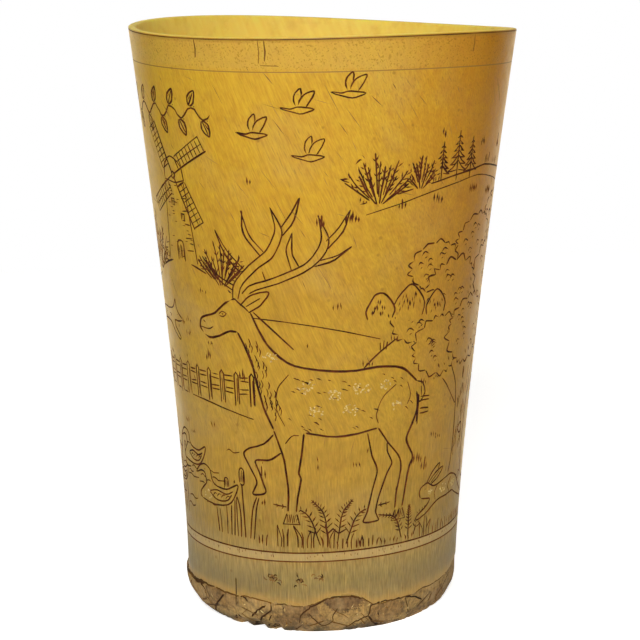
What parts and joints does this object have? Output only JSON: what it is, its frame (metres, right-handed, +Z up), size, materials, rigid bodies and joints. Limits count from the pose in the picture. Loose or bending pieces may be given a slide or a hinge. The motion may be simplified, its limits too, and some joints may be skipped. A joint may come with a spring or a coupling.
{
  "type": "horn beaker",
  "caption": "Tapering drinking cup of honey-coloured cattle horn, engraved all round, standing on a rounded flaked foot with a set-in horn bottom.",
  "frame": {"origin": "centre of the bounding box's bottom, on the surface that the cup stands on, below the mouth's centre", "axes": "+Z up from the foot to the lip, -Y towards the viewer of the picture, +X to the viewer's right, which is the side the wall leans to"},
  "size_m": [0.0787, 0.0788, 0.1223],
  "materials": {
    "horn_wall": "polished cattle horn",
    "base_disc": "scraped and polished cattle horn",
    "pitch_bead": "brown pitch"
  },
  "bodies": {
    "root": {"horn_wall": "horn_wall", "base_disc": "base_disc", "pitch_bead": "pitch_bead"}
  },
  "joints": []
}
